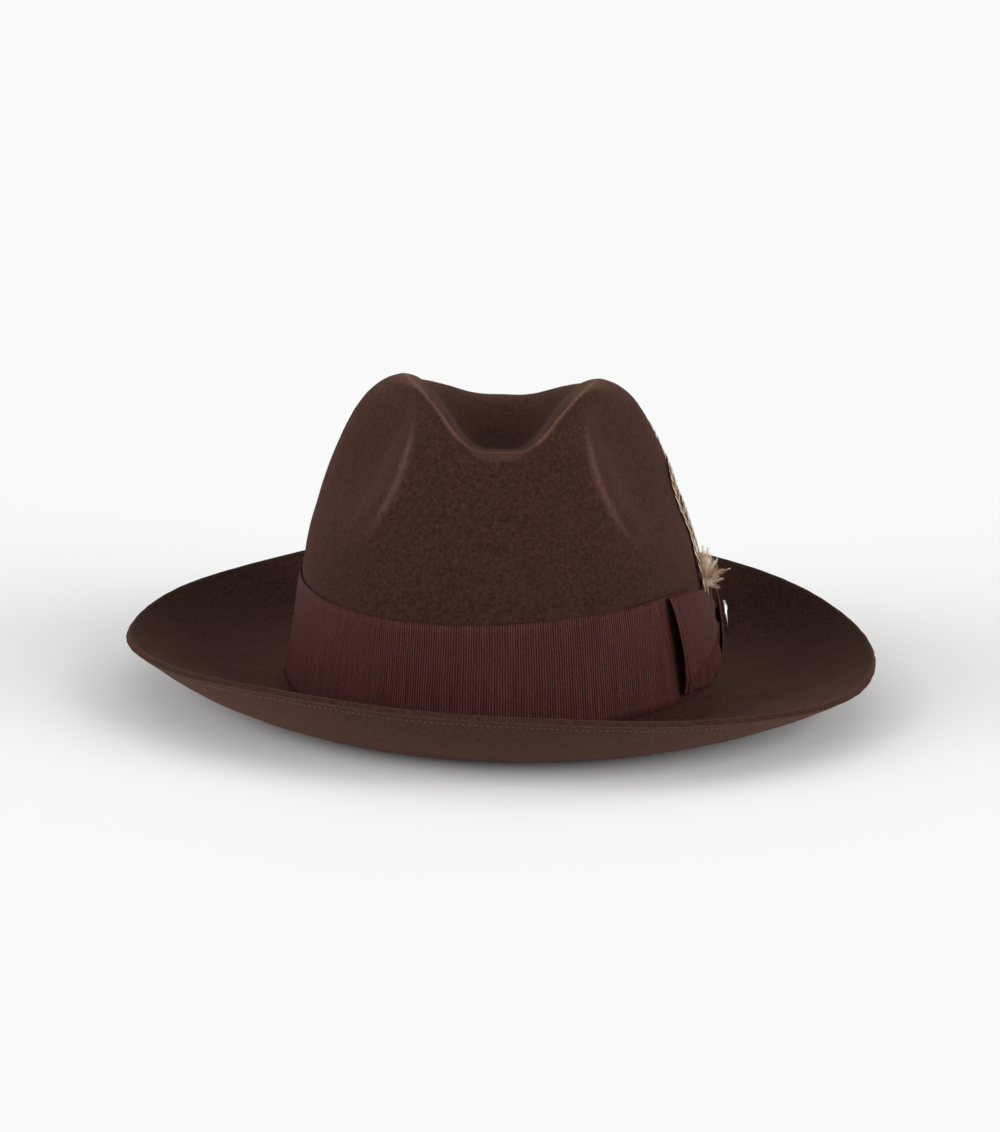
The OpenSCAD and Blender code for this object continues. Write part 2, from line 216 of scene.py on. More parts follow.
def hug_point(w, z, off):
    """A point off the crown's side as it stands, dents and all, at a given height."""
    w, z, off = np.broadcast_arrays(w, z, off)
    k = np.broadcast_to(np.linspace(at_height(24), at_height(134), 120), w.shape + (120,))
    column = crown_point(w[..., None], k)
    step = np.clip(np.sum(column[..., 2] < z[..., None] + FELT_T, -1), 1, 119)[..., None]
    low, high = (np.take_along_axis(column, (step - i)[..., None], -2)[..., 0, :] for i in (1, 0))
    t = (z[..., None] + FELT_T - low[..., 2:]) / (high[..., 2:] - low[..., 2:])
    out = np.stack([np.cos(w) / HEAD_A, np.sin(w) / HEAD_B, 0 * w], -1)
    return low + (high - low) * t + off[..., None] * out / np.linalg.norm(out, axis=-1,
                                                                          keepdims=True)


# ---------- meshes ----------
def put(name, verts, faces, body, uvs=None):
    """A smooth mesh object from points or a grid in millimetres, riding on a CAD body."""
    mesh = bpy.data.meshes.new(name)
    mesh.from_pydata((np.reshape(verts, (-1, 3)).astype(float) * MM).tolist(), [], faces)
    if uvs is not None:
        layer = mesh.uv_layers.new(name="UVMap")
        index = np.zeros(len(mesh.loops), np.int32)
        mesh.loops.foreach_get("vertex_index", index)
        layer.data.foreach_set("uv", np.reshape(uvs, (-1, 2)).astype(np.float32)[index].ravel())
    mesh.validate()
    mesh.shade_smooth()
    obj = bpy.data.objects.new(name, mesh)
    bpy.context.scene.collection.objects.link(obj)
    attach(obj, body)
    return obj


def grid_faces(rows, cols, wrap_rows=False, wrap_cols=False, flip=False):
    """Quads of a grid of points; row direction x column direction is out, or in with flip."""
    i = np.arange(rows if wrap_rows else rows - 1)[:, None]
    j = np.arange(cols if wrap_cols else cols - 1)[None, :]
    a = i * cols + j
    b = ((i + 1) % rows) * cols + j
    c = ((i + 1) % rows) * cols + (j + 1) % cols
    d = i * cols + (j + 1) % cols
    quads = np.stack([a, b, c, d], -1).reshape(-1, 4)
    return (quads[:, ::-1] if flip else quads).tolist()


def solidify(obj, thickness):
    """Gives a sheet its thickness, half of it on each side."""
    mod = obj.modifiers.new("thickness", "SOLIDIFY")
    mod.thickness = thickness * MM
    mod.offset = 0.0
    mod.use_even_offset = True


def paint(obj, *materials):
    obj.data.materials.clear()
    for material in materials:
        obj.data.materials.append(material)
    return obj


def grid_normals(g):
    """Unit normals of a grid of rings: across the columns x down the rows."""
    along = np.gradient(g, axis=0)
    across = np.roll(g, -1, axis=1) - np.roll(g, 1, axis=1)
    n = np.cross(across, along)
    return n / np.maximum(1e-9, np.linalg.norm(n, axis=-1, keepdims=True))


class Strips:
    """Gathers many thin strips, such as barbs and stitches, into one mesh."""

    def __init__(self):
        self.verts, self.faces, self.uvs = [], [], []

    def strip(self, centre, side, uv):
        """centre and side are (n, 3): the strip's midline and its half width vectors."""
        n = len(centre)
        start = len(self.verts)
        self.verts += list(np.concatenate([centre - side, centre + side]))
        self.uvs += list(np.concatenate([uv, uv]))
        self.faces += [(start + i, start + i + 1, start + n + i + 1, start + n + i)
                       for i in range(n - 1)]

    def tube(self, centre, radius, sides, uv):
        """A closed tube round a midline, with its own radius at each point."""
        n, start = len(centre), len(self.verts)
        along = np.gradient(centre, axis=0)
        along /= np.linalg.norm(along, axis=1, keepdims=True) + 1e-12
        ref = np.array([0.0, 0.0, 1.0]) if abs(along[0][2]) < 0.9 else np.array([0.0, 1.0, 0.0])
        u = np.cross(along, ref)
        u /= np.linalg.norm(u, axis=1, keepdims=True)
        v = np.cross(along, u)
        for j in range(sides):
            c, s = math.cos(TAU * j / sides), math.sin(TAU * j / sides)
            self.verts += list(centre + (u * c + v * s) * np.reshape(radius, (-1, 1)))
            self.uvs += list(uv)
        for j in range(sides):
            k = (j + 1) % sides
            self.faces += [(start + j * n + i, start + k * n + i,
                            start + k * n + i + 1, start + j * n + i + 1) for i in range(n - 1)]
        self.faces.append(tuple(start + j * n for j in reversed(range(sides))))
        self.faces.append(tuple(start + j * n + n - 1 for j in range(sides)))

    def build(self, name, body):
        return put(name, self.verts, self.faces, body, self.uvs)


# ---------- node materials ----------
class Nodes:
    """A short way to write a Principled material."""

    def __init__(self, name):
        self.material = bpy.data.materials.new(name)
        self.material.use_nodes = True
        self.tree = self.material.node_tree
        self.shader = self.tree.nodes["Principled BSDF"]

    def node(self, kind, **settings):
        made = self.tree.nodes.new(kind)
        for key, value in settings.items():
            setattr(made, key, value)
        return made

    def link(self, source, target):
        self.tree.links.new(source, target)

    def set(self, **values):
        for key, value in values.items():
            self.shader.inputs[key.replace("_", " ")].default_value = value

    def coords(self, kind="Object", scale=(1, 1, 1)):
        mapping = self.node("ShaderNodeMapping")
        mapping.inputs["Scale"].default_value = scale
        self.link(self.node("ShaderNodeTexCoord").outputs[kind], mapping.inputs["Vector"])
        return mapping.outputs["Vector"]

    def noise(self, scale, detail=2.0, roughness=0.5, coords=None):
        made = self.node("ShaderNodeTexNoise")
        made.inputs["Scale"].default_value = scale
        made.inputs["Detail"].default_value = detail
        made.inputs["Roughness"].default_value = roughness
        self.link(coords or self.coords(), made.inputs["Vector"])
        return made.outputs["Fac"]

    def math(self, operation, a, b=0.0, c=0.0):
        made = self.node("ShaderNodeMath", operation=operation)
        for socket, value in zip(made.inputs, (a, b, c)):
            if isinstance(value, (int, float)):
                socket.default_value = value
            else:
                self.link(value, socket)
        return made.outputs[0]

    def ramp(self, source, *stops):
        made = self.node("ShaderNodeValToRGB")
        band = made.color_ramp
        while len(band.elements) < len(stops):
            band.elements.new(0.5)
        for element, (place, colour) in zip(band.elements, stops):
            element.position = place
            element.color = (*colour, 1.0)
        self.link(source, made.inputs["Fac"])
        return made.outputs["Color"]

    def blend(self, factor, a, b):
        made = self.node("ShaderNodeMix", data_type="RGBA", blend_type="MIX")
        for socket, value in zip((made.inputs[0], made.inputs[6], made.inputs[7]), (factor, a, b)):
            if isinstance(value, float):
                socket.default_value = value
            elif isinstance(value, tuple):
                socket.default_value = (*value, 1.0)
            else:
                self.link(value, socket)
        return made.outputs[2]

    def bump(self, height, distance, strength=1.0, under=None):
        made = self.node("ShaderNodeBump")
        made.inputs["Distance"].default_value = distance * MM
        made.inputs["Strength"].default_value = strength
        self.link(height, made.inputs["Height"])
        if under is not None:
            self.link(under, made.inputs["Normal"])
        self.link(made.outputs["Normal"], self.shader.inputs["Normal"])
        return made.outputs["Normal"]

    def colour(self, source):
        self.link(source, self.shader.inputs["Base Color"])

    def rough(self, source):
        self.link(source, self.shader.inputs["Roughness"])


def felt_material():
    n = Nodes("felt")
    fibres = n.noise(1150, 4, 0.7)
    clumps = n.noise(600, 3, 0.6)
    patches = n.noise(24, 3, 0.55)
    speckle = n.ramp(fibres, (0.34, (0.0120, 0.0046, 0.0032)), (0.50, (0.0270, 0.0120, 0.0082)),
                     (0.70, (0.0800, 0.0430, 0.0290)))
    toned = n.blend(0.55, speckle, n.ramp(clumps, (0.32, (0.0130, 0.0052, 0.0036)),
                                          (0.68, (0.0580, 0.0280, 0.0195))))
    toned = n.blend(n.math("MULTIPLY", patches, 0.40), toned, (0.037, 0.0165, 0.0112))
    # Painted highlight: the crease's lip and the pinches' ridges are painted lighter, broken up by
    # the clumps.
    ridge_highlight = n.node("ShaderNodeAttribute", attribute_name="ridge_highlight").outputs["Fac"]
    painted_highlight = n.math("MULTIPLY", ridge_highlight, n.math("MULTIPLY_ADD", clumps, 0.9, 0.25))
    n.colour(n.blend(painted_highlight, toned, (0.130, 0.064, 0.049)))
    n.set(Roughness=0.95, Specular_IOR_Level=0.05, Sheen_Weight=0.15, Sheen_Roughness=0.36,
          Sheen_Tint=(0.92, 0.50, 0.38, 1.0))
    under = n.bump(n.noise(2400, 4, 0.7), 0.25, 0.8)
    n.bump(clumps, 0.35, 0.45, under)
    return n.material


RIB_PITCH = 1.0


def ribbon_material(name, tone):
    """Grosgrain: ribs across the ribbon's length, which is U, in millimetres."""
    n = Nodes(name)
    split = n.node("ShaderNodeSeparateXYZ")
    n.link(n.node("ShaderNodeTexCoord").outputs["UV"], split.inputs[0])
    wobble = n.noise(0.20, 2, 0.5, n.coords("UV", (1, 0.5, 1)))
    along = n.math("MULTIPLY_ADD", wobble, 0.9, split.outputs[0])
    rib = n.math("SINE", n.math("MULTIPLY", along, TAU / RIB_PITCH))
    rib = n.math("MULTIPLY_ADD", rib, 0.5, 0.5)
    grain = n.noise(1.0, 2, 0.6, n.coords("UV", (1.1, 0.9, 1)))
    streaks = n.noise(1.0, 3, 0.6, n.coords("UV", (0.9, 0.03, 1)))
    dark = tuple(tone * c for c in (0.0110, 0.0022, 0.0016))
    middle = tuple(tone * c for c in (0.0370, 0.0096, 0.0076))
    light = tuple(tone * c for c in (0.1120, 0.0390, 0.0320))
    value = n.math("MULTIPLY_ADD", rib, 0.50, n.math("MULTIPLY", streaks, 0.45))
    value = n.math("MULTIPLY_ADD", grain, 0.50, n.math("SUBTRACT", value, 0.22))
    n.colour(n.ramp(value, (0.16, dark), (0.48, middle), (0.86, light)))
    n.set(Roughness=0.62, Specular_IOR_Level=0.07, Sheen_Weight=0.03, Sheen_Roughness=0.35,
          Sheen_Tint=(0.90, 0.36, 0.30, 1.0))
    n.bump(n.math("MULTIPLY_ADD", grain, 0.5, rib), 0.22, 0.9)
    return n.material


def thread_material(name, colour):
    n = Nodes(name)
    strands = n.noise(2400, 3, 0.6)
    n.colour(n.ramp(strands, (0.3, tuple(0.55 * c for c in colour)), (0.7, colour)))
    n.set(Roughness=0.7, Sheen_Weight=0.2, Sheen_Roughness=0.4)
    n.bump(strands, 0.06, 0.6)
    return n.material


def feather_material(name, bars, shift=0.0):
    """Barred vane: U runs along the feather in millimetres, V out along each barb, 0 to 1."""
    n = Nodes(name)
    split = n.node("ShaderNodeSeparateXYZ")
    n.link(n.node("ShaderNodeTexCoord").outputs["UV"], split.inputs[0])
    ragged = n.noise(0.55, 3, 0.6, n.coords("UV", (1, 2.2, 1)))
    along = n.math("MULTIPLY_ADD", split.outputs[1], -1.2, split.outputs[0])
    along = n.math("MULTIPLY_ADD", ragged, 1.5, along)
    wave = n.math("SINE", n.math("MULTIPLY_ADD", along, TAU / bars, shift))
    wave = n.math("MULTIPLY_ADD", wave, 0.5, 0.5)
    barb = n.noise(1.0, 2, 0.6, n.coords("UV", (4.5, 0.8, 1)))
    colour = n.ramp(wave, (0.24, (0.022, 0.008, 0.004)), (0.36, (0.190, 0.084, 0.040)),
                    (0.76, (0.340, 0.180, 0.098)), (0.87, (0.900, 0.790, 0.640)))
    n.colour(n.blend(n.math("MULTIPLY", barb, 0.35), colour, (0.16, 0.080, 0.042)))
    n.set(Roughness=0.7, Specular_IOR_Level=0.08)
    n.bump(barb, 0.05, 0.5)
    return n.material


def quill_material():
    n = Nodes("quill")
    n.colour(n.ramp(n.noise(260, 3, 0.6), (0.3, (0.30, 0.17, 0.09)), (0.7, (0.52, 0.36, 0.22))))
    n.set(Roughness=0.42, Specular_IOR_Level=0.3)
    return n.material


def down_material():
    n = Nodes("down")
    tint = n.noise(230, 2, 0.5)
    n.colour(n.ramp(tint, (0.34, (0.58, 0.38, 0.24)), (0.48, (0.86, 0.68, 0.50)),
                    (0.62, (0.97, 0.90, 0.80))))
    n.set(Roughness=0.8, Specular_IOR_Level=0.2, Sheen_Weight=0.2, Sheen_Roughness=0.5)
    return n.material


def metal_material(name="pin_metal", dull=(0.55, 0.50, 0.43), clean=(0.86, 0.83, 0.77),
                   polish=0.10):
    n = Nodes(name)
    scratches = n.noise(1.0, 4, 0.6, n.coords("Object", (300, 300, 2600)))
    tarnish = n.noise(420, 4, 0.6)
    n.colour(n.ramp(tarnish, (0.30, dull), (0.55, clean)))
    n.rough(n.math("MULTIPLY_ADD", scratches, 0.16, polish))
    n.set(Metallic=1.0)
    n.bump(scratches, 0.01, 0.3)
    return n.material


def enamel_material():
    n = Nodes("pin_enamel")
    cloud = n.noise(300, 3, 0.5)
    n.colour(n.ramp(cloud, (0.3, (0.050, 0.010, 0.010)), (0.7, (0.090, 0.022, 0.020))))
    n.set(Roughness=0.16, Coat_Weight=0.6, Coat_Roughness=0.06)
    n.bump(cloud, 0.01, 0.2)
    return n.material


def leather_material():
    n = Nodes("sweat_leather")
    grain = n.node("ShaderNodeTexVoronoi", feature="DISTANCE_TO_EDGE")
    grain.inputs["Scale"].default_value = 1100
    n.link(n.coords(), grain.inputs["Vector"])
    tone = n.noise(55, 4, 0.6)
    n.colour(n.ramp(tone, (0.3, (0.085, 0.036, 0.017)), (0.7, (0.150, 0.070, 0.036))))
    n.rough(n.math("MULTIPLY_ADD", n.noise(350, 3), 0.2, 0.36))
    n.set(Specular_IOR_Level=0.4)
    under = n.bump(grain.outputs["Distance"], 0.08, 0.6)
    n.bump(n.noise(160, 3), 0.25, 0.4, under)
    return n.material


def reed_material():
    n = Nodes("reed_plastic")
    tone = n.noise(500, 2)
    n.colour(n.ramp(tone, (0.3, (0.17, 0.095, 0.052)), (0.7, (0.24, 0.145, 0.085))))
    n.set(Roughness=0.4)
    n.bump(tone, 0.02, 0.3)
    return n.material


def lining_material():
    n = Nodes("lining")
    warp = n.noise(1.0, 2, 0.5, n.coords("Object", (2600, 2600, 500)))
    folds = n.noise(38, 3, 0.5)
    n.colour(n.ramp(folds, (0.3, (0.135, 0.062, 0.035)), (0.7, (0.205, 0.108, 0.066))))
    n.set(Roughness=0.32, Specular_IOR_Level=0.55, Sheen_Weight=0.3, Sheen_Roughness=0.3,
          Anisotropic=0.5)
    n.bump(warp, 0.05, 0.4)
    return n.material


FELT = felt_material()
RIBBON = ribbon_material("ribbon", 1.0)
BOW_RIBBON = ribbon_material("bow_ribbon", 0.96)
SHADED_FLAP_RIBBON = ribbon_material("bow_flap_shaded_ribbon", 0.62)     # painted shade: a darker copy of the ribbon for the flap below the bow's long fold
LINING = lining_material()
QUILL = quill_material()
METAL = metal_material()
DARK_METAL = metal_material("clutch_metal", (0.016, 0.011, 0.008), (0.040, 0.028, 0.019), 0.45)

# ---------- felt body ----------
COLS = 300
ROUND = around(COLS)
BRIM_ROWS, BEND_ROWS, CROWN_ROWS, EDGE_ROWS = 46, 7, 165, 7
CROWN_K = mix(float(at_height(BREAK_R)), K - 0.02, np.linspace(1, 0, CROWN_ROWS))[:, None]
EDGE_IN = 0.55                      # the cut edge's rounded part, within the brim's width
EDGE_POWER = 0.4                    # under 1, so the cut edge is squarer than a half round
RIDGE_RELIEF = 0.22                  # how far the ridges under the painted highlight stand proud
LIP_WIDTH = 1.1                     # half width of the painted highlight along the crease's lip


def felt_upper():
    """The felt's upper face as a grid, from the crown's top down to the rim."""
    brim_u = 1 - EDGE_IN / BRIM_SIDE
    crown = crown_point(ROUND[None, :], np.repeat(CROWN_K, COLS, 1))
    turn = np.linspace(math.pi / 2, 0, BEND_ROWS + 2)[1:-1]
    bend = np.stack([side_point(ROUND, BREAK_R * (1 - math.cos(t)), BREAK_R * (1 - math.sin(t)))
                     for t in turn])
    us = mix(BEND_U, brim_u, np.linspace(0, 1, BRIM_ROWS))
    brim = brim_point(ROUND[None, :], us[:, None])
    return np.concatenate([crown, bend, brim])


def uneven(grid, seed):
    """How far hand-blocked felt stands off its ideal surface, at each point of a grid."""
    def rough(p, size):
        return noise.noise(Vector(p / size) + Vector((seed, 0, 0)))
    flat = grid.reshape(-1, 3)
    depth = [0.22 * rough(p, 19.0) + 0.10 * rough(p, 6.5) + 0.045 * rough(p, 3.2) for p in flat]
    return np.reshape(depth, grid.shape[:2] + (1,))


def ridge_highlight_mask(upper):
    """Where the felt's ridges get a painted highlight, 0 to 1: the crease's lip and the pinches'
    ridges.
    """
    crown = upper[:CROWN_ROWS]
    steps = np.linalg.norm(np.diff(crown, axis=0), axis=-1)
    run = np.concatenate([np.zeros((1, COLS)), np.cumsum(steps, axis=0)])
    lip = np.take_along_axis(run, np.argmax(crown[..., 2], axis=0)[None], 0)
    lip = sum(np.roll(lip, i, 1) for i in range(-4, 5)) / 9
    on_lip = np.exp(-((run - lip) / LIP_WIDTH) ** 2)
    on_lip = on_lip * mix(0.3, 1.0, smooth(50, -60, crown[..., 1]))
    z = section(CROWN_K)[3]
    x, y = crown[..., 0] - lean(z), crown[..., 1]
    down = 116 - z                                # below the ridge's upper end
    t = np.degrees(np.arctan2(np.abs(x), -y)) - (25.6 - 0.052 * down + 0.0073 * down ** 2)
    on_pinch = np.exp(-(t / 1.3) ** 2) * smooth(66, 94, z) * (1 - smooth(108, 126, z))
    ridge_highlight = np.zeros(upper.shape[:2])
    ridge_highlight[:CROWN_ROWS] = np.maximum(on_lip, 0.7 * on_pinch)
    return ridge_highlight


def felt_edge(upper, lower):
    """Rings over the cut edge, from the upper face to the lower one, with crisp corners."""
    middle, half = (upper + lower) / 2, (upper - lower) / 2
    out = outward(ROUND)
    ragged = 0.10 * np.sin(61 * ROUND)[:, None] + 0.08 * np.sin(97 * ROUND + 1)[:, None]
    rings = []
    for i in range(1, EDGE_ROWS + 1):
        angle = math.pi * i / (EDGE_ROWS + 1)
        side = math.copysign(abs(math.cos(angle)) ** EDGE_POWER, math.cos(angle))
        reach = (EDGE_IN + ragged) * math.sin(angle) ** EDGE_POWER
        rings.append(middle + half * side + out * reach)
    return np.stack(rings)


def make_felt():
    """Crown and brim as one closed surface; returns the lower face's grid, crown to rim."""
    upper = felt_upper()
    normal = -grid_normals(upper)                 # the rows run down and out
    lower = upper - FELT_T * normal
    ridge_highlight = ridge_highlight_mask(upper)
    upper = upper + normal * (uneven(upper, 3.7) + RIDGE_RELIEF * ridge_highlight[..., None])
    lower = lower - normal * uneven(lower, 8.1)
    rings = np.concatenate([upper, felt_edge(upper[-1], lower[-1]), lower[::-1]])
    rows = len(rings)
    verts = rings.reshape(-1, 3)
    top, under = rings[0].mean(0), rings[-1].mean(0)
    faces = grid_faces(rows, COLS, wrap_cols=True)
    last = (rows - 1) * COLS
    poles = len(verts)
    faces += [(poles, j, (j + 1) % COLS) for j in range(COLS)]
    faces += [(poles + 1, last + (j + 1) % COLS, last + j) for j in range(COLS)]
    felt = put("felt", np.concatenate([verts, [top, under]]), faces, "hat")
    # The painted highlight on the ridges, passed to the felt material as a point attribute.
    values = np.zeros(len(verts) + 2)
    values[:ridge_highlight.size] = ridge_highlight.ravel()
    felt.data.attributes.new("ridge_highlight", "FLOAT", "POINT").data.foreach_set("value", values)
    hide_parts("felt_body")
    paint(felt, FELT)
    return lower


# ---------- ribbon band ----------
BAND_LAP = math.radians(9)          # how far each end runs on past the side of the hat
BAND_SKIN = 0.5                     # thickness of the band's sheet


def band_puff(w, z):
    """How far the ribbon lifts off the felt: its soft waves, and two wrinkles by the bow."""
    high = (z - BAND_LOW) / (BAND_TOP - BAND_LOW)
    waves = 0.10 * np.sin(7 * w + 2 * high) + 0.07 * np.sin(17 * w + 1.3)
    dent = np.exp(-((np.degrees(w) - 301 - 9 * high) / 3.2) ** 2) * smooth(0.45, 0.95, high)
    fold = np.exp(-((np.degrees(w) - 312 - 6 * high) / 2.4) ** 2) * smooth(0.30, 0.90, high)
    return 0.25 + waves + 1.0 * dent + 0.6 * fold


def make_band():
    """One strip of ribbon whose ends overlap behind the bow."""
    cols, rows = 520, 15
    ws = np.linspace(-BAND_LAP, TAU + BAND_LAP, cols)
    zs = np.linspace(BAND_LOW, BAND_TOP, rows)
    w, z = np.meshgrid(ws, zs)
    lap = 0.7 * smooth(TAU - BAND_LAP * 1.4, TAU - BAND_LAP * 0.4, w)
    flare = 0.4 * smooth(BAND_LOW + 3, BAND_LOW, z)
    grid = band_point(w, z, GAP + RIBBON_T / 2 + band_puff(w % TAU, z) + lap + flare)
    length = run_along(grid[rows // 2])
    band = put("ribbon_band", grid, grid_faces(rows, cols), "hat", joined(length, z))
    solidify(paint(band, RIBBON), BAND_SKIN)
    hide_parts("hat_band")


# ---------- bow ----------
BOW_REACH = 35.8                    # degrees from the side of the hat to the bow's end
BOW_MID = (BAND_LOW + BAND_TOP) / 2
BOW_HALF = 19.2                     # half height at the loop's end
KNOT_HALF = 7.0                     # half height of the pleats inside the knot
LOOP_SKIN = 0.55


def loop_grid(side, rows=41, cols=90):
    """A ribbon folded back on itself: out from the knot, round the end and back under.

    Returns the points, their UVs, the ribbon's length and which faces below the long fold get
    painted shade.
    """
    s = np.linspace(0, 1, cols)[None, :]
    v = np.linspace(-1, 1, rows)[:, None]
    bend = 0.035                                  # share of the length in the end's fold
    q = np.where(s < 0.5, s / (0.5 - bend), (1 - s) / (0.5 - bend)).clip(0, 1)
    turn = np.clip((s - (0.5 - bend)) / (2 * bend), 0, 1) * math.pi
    outer = (1 + np.cos(turn)) / 2                # 1 on the outer layer, 0 on the inner one
    w = side * np.radians(2 + (BOW_REACH - 2 + 0.8 * v) * q + 0.8 * np.sin(turn))
    half = mix(KNOT_HALF, BOW_HALF, smooth(-0.1, 0.68, q))
    z = BOW_MID + 0.9 * q - 1.2 * (1 - smooth(0.3, 0.9, q)) + 0.6 + v * half
    arch = 1 - v ** 2
    gather = 1 - smooth(0.0, 0.55, q)
    pleats = 0.8 * gather * np.cos(v * 7.2 + 0.5)
    near = 0.9 + 2.6 * arch * smooth(0.25, 0.85, q) + 0.8 * smooth(0, 0.2, q)
    thick = 0.9 + 1.5 * smooth(0.05, 0.35, q) * (1 - smooth(0.55, 1.0, q))
    crease = v + 1.25 * q - 0.55                  # the long fold, down to the front corner
    below = 1 - smooth(-0.07, 0.04, crease)
    tuck = -(2.7 * below * smooth(0.15, 0.5, q) * (1 - smooth(0.90, 1, q))
             * (0.5 + 0.5 * smooth(-1, 0, v)))
    ridge = 1.5 * np.exp(-np.abs(crease - 0.05) / 0.36) * smooth(0.1, 0.4, q)
    piping = 0.45 * np.exp(-((q - 0.955) / 0.018) ** 2)
    off = BAND_FACE + near + outer * (thick + pleats + tuck + ridge + piping)
    grid = on_band(w, z, off)
    # Faces of the outer layer below the long fold, which get painted shade.
    flap_shade = ((crease < 0.02) & (q > 0.14) & (q < 0.93) & (s < 0.5))[1:, 1:]
    length = run_along(grid[rows // 2])
    return grid, joined(length, v * BOW_HALF), length[-1], flap_shade


def make_loop(name, side, node):
    grid, uvs, length, flap_shade = loop_grid(side)
    loop = put(name, grid, grid_faces(*grid.shape[:2]), "hat", uvs)
    # The flap below the long fold takes the darker ribbon: painted shade.
    loop.data.polygons.foreach_set("material_index", flap_shade.ravel().astype(np.int32))
    solidify(paint(loop, BOW_RIBBON, SHADED_FLAP_RIBBON), LOOP_SKIN)
    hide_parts(node)


KNOT_LEAN = math.radians(8)
KNOT_FOOT = on_band(np.array(0.0), np.array(BOW_MID), BAND_FACE)
KNOT_W = 15.5
KNOT_OUT = 5.4                      # how far the knot's belly stands off the band
KNOT_TOP = 16.7                     # half height of the knot
KNOT_SKIN = 0.5


def on_side(p):
    """From the frame on the band's face at the side of the hat to the row frame."""
    c, s = math.cos(KNOT_LEAN), math.sin(KNOT_LEAN)
    p = np.asarray(p, float)
    return KNOT_FOOT + np.stack([p[..., 0] * c - p[..., 2] * s, p[..., 1],
                                 p[..., 0] * s + p[..., 2] * c], -1)


def knot_ring(count=72):
    """The knot's closed outline, out from the band and up: a D with a soft belly."""
    t = np.linspace(0, TAU, count, endpoint=False)
    belly = np.abs(np.cos(t)) ** 0.75 * np.sign(np.cos(t))
    x = np.where(belly > 0, 1.3 + (KNOT_OUT - 1.5) * belly, 1.3 + 0.6 * belly)
    tall = np.abs(np.sin(t)) ** 0.85 * np.sign(np.sin(t))
    return x, tall * (KNOT_TOP - 0.4)


def make_knot():
    """One turn of ribbon round the bow's middle, a little pinched and folded in front."""
    x, z = knot_ring()
    cols = 29
    v = np.linspace(-1, 1, cols)[:, None]
    front = smooth(1.8, 4.5, x)[None, :]
    folds = front * (0.30 * np.cos(v * 9.0 + 0.4) - 0.25 * np.abs(v) ** 4)
    pinched = 1 - 0.10 * front * (1 - (z[None, :] / KNOT_TOP) ** 2)
    grid = on_side(joined(x + folds * 0.8, v * KNOT_W / 2 * pinched, z * (1 - 0.01 * v ** 2)))
    closed = np.concatenate([grid, grid[:, :1]], axis=1)
    ring = joined(x, z)
    length = run_along(np.concatenate([ring, ring[:1]]))
    knot = put("bow_knot_ribbon", closed, grid_faces(*closed.shape[:2]), "hat",
               joined(length, v * KNOT_W / 2))
    solidify(paint(knot, BOW_RIBBON), KNOT_SKIN)
    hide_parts("bow_knot")


# ---------- feathers ----------
SPRAY_FOOT = -8.0                   # where the feathers stand, in degrees round the hat
TUCK = 14.0                         # how far their stems are tucked in behind the bow
STEM_Z = BAND_TOP + float(band_rise(math.radians(SPRAY_FOOT))) - TUCK
BARB_PITCH = 0.42
BARB_SKIN = 0.06
BARE_STEM = 0.16                    # share of the quill below the first barbs
DEGREES_PER_MM = 0.57               # round the crown, where the feathers stand


def feather_spine(q, length, layer, shift, sweep, v=0.0, off=0.0):
    """A point on a feather: q along it, v to its side and off the crown in millimetres."""
    z = STEM_Z + (length + TUCK) * q
    w = np.radians(SPRAY_FOOT + shift + sweep * np.clip(q, 0, 2) ** 1.3 + v * DEGREES_PER_MM)
    over_bow = 1 - smooth(STEM_Z + TUCK - 4, STEM_Z + TUCK + 16, z)
    return hug_point(w, z, 0.25 + layer * mix(0.6, 1.0, over_bow) + BAND_FACE * over_bow + off)


def make_feather(name, node, length, wide, layer, shift, sweep, material, seed):
    """A quill with two rows of barbs that slant towards the tip and curl off the felt."""
    rng = random.Random(seed)
    strips = Strips()
    total = length + TUCK
    count = int(total / BARB_PITCH)
    for side in (-1, 1):
        for i in range(count):
            q = BARE_STEM + (1 - BARE_STEM) * i / (count - 1)
            reach = 0.6 + wide * float(smooth(0.12, 0.4, q)) * (1 - float(smooth(0.78, 1.03, q)))
            reach *= rng.uniform(0.90, 1.03)
            split = rng.random() < 0.03
            s = np.linspace(0, 1, 5)
            slant = (3.2 + 1.4 * rng.random()) * reach / 5 + (1.4 if split else 0)
            qs = q + slant * s ** 0.85 / total
            lift = 0.05 + 0.45 * s ** 2 * smooth(0.25, 0.6, q) * (1 + 0.5 * rng.random())
            centre = feather_spine(qs, length, layer, shift, sweep, side * s * reach, lift)
            along = np.array([0, 0, 1.0]) * (0.30 * (1 - 0.75 * s))[:, None]
            uv = np.stack([np.full(5, q * total), s], -1)
            strips.strip(centre, along, uv)
    q = np.linspace(0.0, 0.985, 40)
    quill = feather_spine(q, length, layer, shift, sweep, 0.0, 0.28)
    barbs = len(strips.faces)
    strips.tube(quill, mix(0.36, 0.08, q), 7, np.stack([q * total, q * 0], -1))
    feather = strips.build(name, "feather_spray")
    paint(feather, material, QUILL)
    for polygon in feather.data.polygons[barbs:]:
        polygon.material_index = 1
    solidify(feather, BARB_SKIN)
    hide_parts(node)


